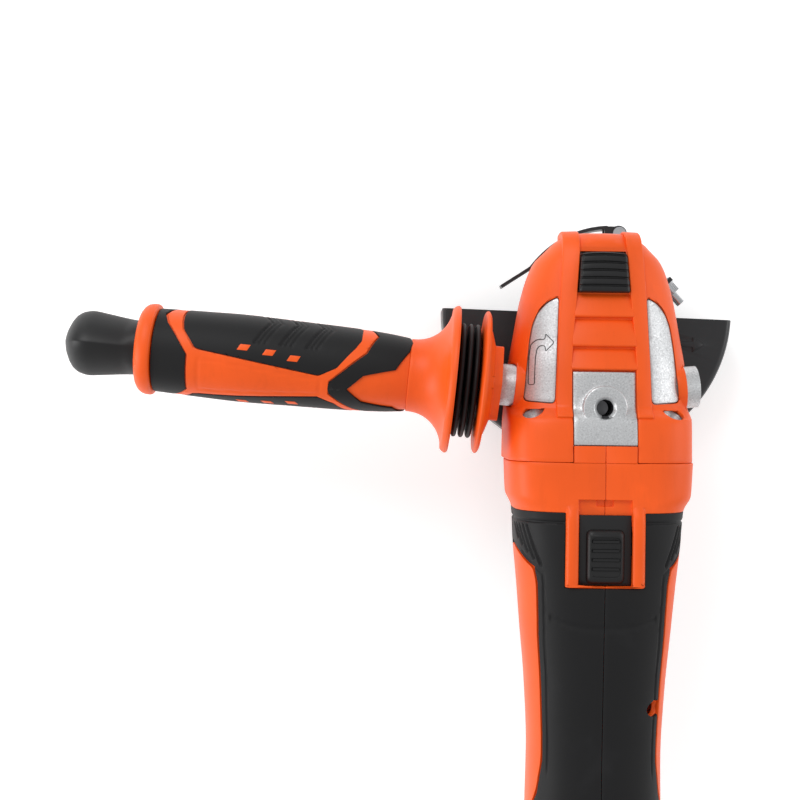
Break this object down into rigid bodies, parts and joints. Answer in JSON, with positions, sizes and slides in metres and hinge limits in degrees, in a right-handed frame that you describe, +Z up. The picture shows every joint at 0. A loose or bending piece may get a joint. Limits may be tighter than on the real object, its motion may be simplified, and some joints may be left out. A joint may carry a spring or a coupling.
{
  "type": "angle grinder",
  "caption": "Corded angle grinder with a bevel gear head, quick-release disc guard, spindle lock, slide switch and a side handle with a stored key.",
  "frame": {"origin": "centre of the spindle's free end", "axes": "+Z up the spindle through the head, +Y out of the head's nose, -Y along the motor housing, the side handle points to -X"},
  "size_m": [0.3074, 0.294, 0.096],
  "materials": {
    "orange_plastic": "fine-textured moulded polyamide",
    "black_plastic": "moulded polyamide",
    "soft_rubber": "soft-touch overmould",
    "cast_aluminium": "shot-blasted die casting",
    "black_steel": "black powder coat",
    "bright_steel": "zinc plated or ground",
    "dark_steel": "hardened gear steel",
    "lamination_steel": "stacked sheet",
    "copper": "enamelled copper wire",
    "brass": "stamped",
    "carbon": "pressed carbon",
    "capacitor_case": "moulded case"
  },
  "bodies": {
    "housing": {"gear_case": "cast_aluminium", "head_cover": "orange_plastic", "bearing_flange": "cast_aluminium", "flange_screws": "bright_steel", "case_screws": "bright_steel", "spindle_bearing": "bright_steel", "needle_bush": "bright_steel", "pinion_bearing": "bright_steel", "rear_bearing": "bright_steel", "bearing_sleeve": "soft_rubber", "bearing_plate": "bright_steel", "dust_seal": "soft_rubber", "housing_left": "orange_plastic", "housing_right": "orange_plastic", "grip_left": "soft_rubber", "grip_right": "soft_rubber", "housing_screws": "bright_steel", "stator_core": "lamination_steel", "field_coils": "copper", "fan_baffle": "black_plastic", "brush_holders": "brass", "switch_module": "black_plastic", "capacitor": "capacitor_case", "cord_inlet": "soft_rubber", "cord_clamp": "black_plastic", "lock_spring": "bright_steel", "brush_spring_left": "bright_steel", "brush_spring_right": "bright_steel"},
    "armature": {"armature_shaft": "bright_steel", "armature_core": "lamination_steel", "armature_windings": "copper", "commutator": "copper", "cooling_fan": "black_plastic", "pinion": "dark_steel", "pinion_nut": "bright_steel"},
    "spindle_set": {"spindle": "bright_steel", "crown_gear": "dark_steel", "inner_flange": "bright_steel", "retaining_ring": "bright_steel"},
    "disc_nut": {"clamp_nut": "black_steel"},
    "spindle_lock": {"lock_button": "black_plastic", "lock_pin": "bright_steel"},
    "power_slider": {"switch_slider": "black_plastic", "switch_rod": "bright_steel"},
    "guard_set": {"guard": "black_steel", "clamp_band": "black_steel", "clamp_screw": "bright_steel"},
    "guard_lever": {"clamp_lever": "black_steel"},
    "handle_bolt": {"handle_stud": "bright_steel"},
    "side_handle": {"handle_core": "orange_plastic", "handle_grip": "soft_rubber", "handle_hub": "orange_plastic", "damping_discs": "soft_rubber", "handle_nut": "bright_steel", "end_ring": "orange_plastic"},
    "storage_key": {"key_shank": "bright_steel", "key_grip": "black_plastic"},
    "left_brush": {"brush_left": "carbon"},
    "right_brush": {"brush_right": "carbon"}
  },
  "joints": [
    {"name": "armature_spin", "type": "hinge", "parent": "housing", "child": "armature", "pos_m": [0, -0.1, 0.056], "axis": [0, 1, 0], "continuous": true},
    {"name": "spindle_spin", "type": "hinge", "parent": "housing", "child": "spindle_set", "pos_m": [0, 0, 0.03], "axis": [0, 0, 1], "continuous": true},
    {"name": "disc_nut_travel", "type": "slide", "parent": "spindle_set", "child": "disc_nut", "axis": [0, 0, -1], "range_m": [0, 0.012]},
    {"name": "lock_press", "type": "slide", "parent": "housing", "child": "spindle_lock", "axis": [0, 0, -1], "range_m": [0, 0.0045], "stiffness_N_per_m": 900, "springref_m": -0.006, "deforming": ["lock_spring"]},
    {"name": "power_slide", "type": "slide", "parent": "housing", "child": "power_slider", "axis": [0, 1, 0], "range_m": [0, 0.006]},
    {"name": "guard_turn", "type": "hinge", "parent": "housing", "child": "guard_set", "pos_m": [0, 0, 0.028], "axis": [0, 0, 1], "range_deg": [-90, 90]},
    {"name": "lever_open", "type": "hinge", "parent": "guard_set", "child": "guard_lever", "pos_m": [0.013, 0.0356, 0.029], "axis": [0, 0, -1], "range_deg": [0, 110]},
    {"name": "handle_travel", "type": "slide", "parent": "housing", "child": "handle_bolt", "axis": [-0.9962, 0.0872, 0], "range_m": [0, 0.015]},
    {"name": "handle_turn", "type": "hinge", "parent": "handle_bolt", "child": "side_handle", "pos_m": [-0.044, -0.036, 0.059], "axis": [-0.9962, 0.0872, 0], "range_deg": [0, 4320]},
    {"name": "key_pull", "type": "slide", "parent": "side_handle", "child": "storage_key", "axis": [-0.9962, 0.0872, 0], "range_m": [0, 0.1]},
    {"name": "left_brush_slide", "type": "slide", "parent": "housing", "child": "left_brush", "axis": [-1, 0, 0], "range_m": [0, 0.005], "stiffness_N_per_m": 300, "springref_m": -0.006, "deforming": ["brush_spring_left"]},
    {"name": "right_brush_slide", "type": "slide", "parent": "housing", "child": "right_brush", "axis": [1, 0, 0], "range_m": [0, 0.005], "stiffness_N_per_m": 300, "springref_m": -0.006, "deforming": ["brush_spring_right"]}
  ],
  "couplings": [
    {"joint": "spindle_spin", "follows": "armature_spin", "ratio": -0.25},
    {"joint": "handle_travel", "follows": "handle_turn", "m_per_rad": 0.00019894}
  ]
}
